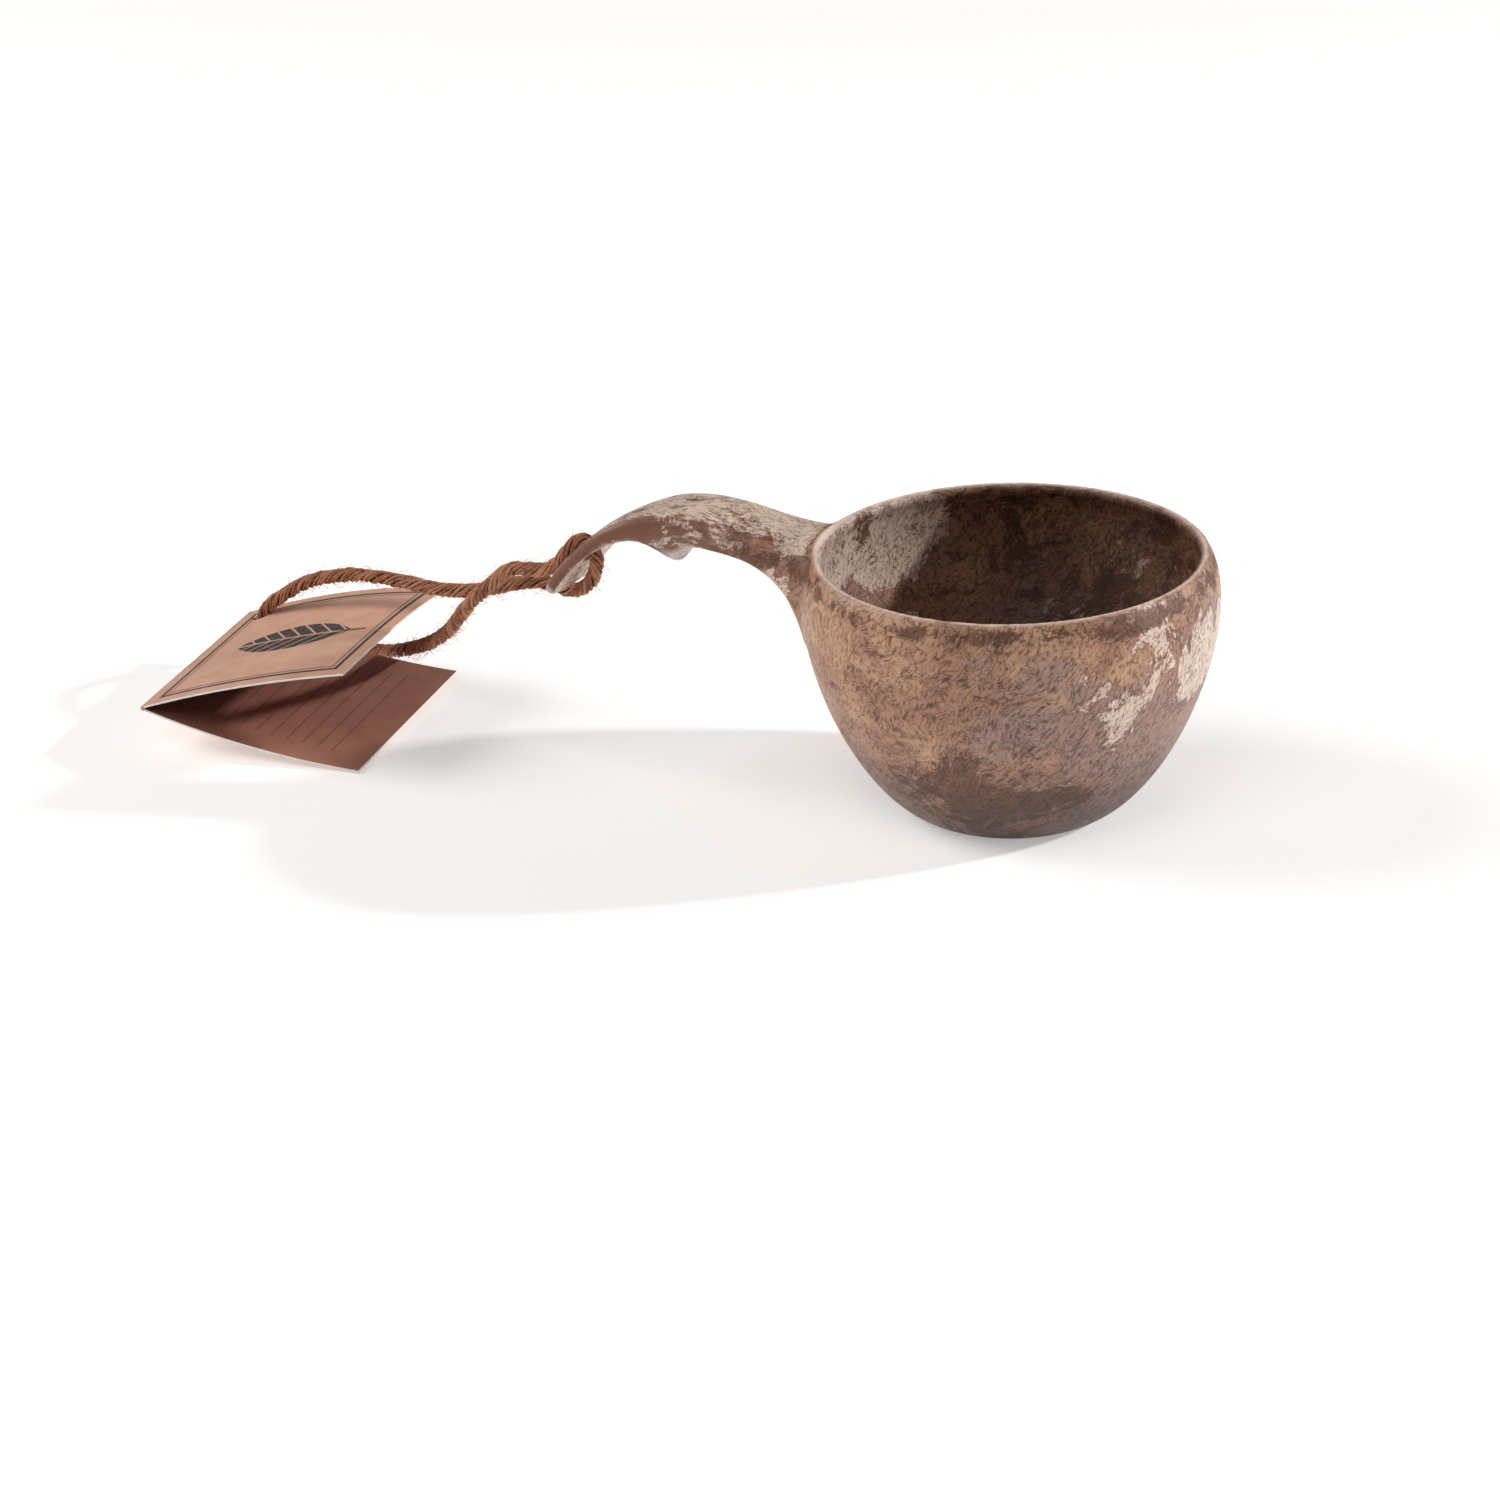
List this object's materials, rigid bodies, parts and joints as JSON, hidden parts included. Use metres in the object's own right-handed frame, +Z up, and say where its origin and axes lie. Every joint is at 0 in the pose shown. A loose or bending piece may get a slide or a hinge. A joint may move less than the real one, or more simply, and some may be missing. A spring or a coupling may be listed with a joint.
{
  "type": "kuksa cup",
  "caption": "Round-bottomed drinking cup with an arched handle moulded on, a cord through the handle's end and a folded card tag hanging on the cord.",
  "frame": {"origin": "centre of the flat foot of the bowl, on the surface that the cup stands on", "axes": "+Z up along the bowl's axis, -X along the handle towards its free end, +Y to the side on which the punched corner of the tag lies"},
  "size_m": [0.2604, 0.0973, 0.068],
  "materials": {
    "composite": "moulded wood-fibre composite, mottled sand and brown, semi-matt",
    "jute": "three-ply twisted jute, dyed red-brown",
    "card": "uncoated kraft card with white cut edges"
  },
  "bodies": {
    "cup": {"cup": "composite", "cord_upper_strand": "jute", "cord_lower_strand": "jute", "cord_knot": "jute", "tag_back_leaf": "card"},
    "front_leaf": {"tag_front_leaf": "card"}
  },
  "joints": [
    {"name": "tag_fold", "type": "hinge", "parent": "cup", "child": "front_leaf", "pos_m": [-0.213, -0.018, 0.011], "axis": [-0.0523, -0.998, -0.0349], "range_deg": [-6, 75], "stiffness_Nm_per_rad": 0.03, "springref_deg": 0.8, "deforming": ["cord_upper_strand"]}
  ]
}
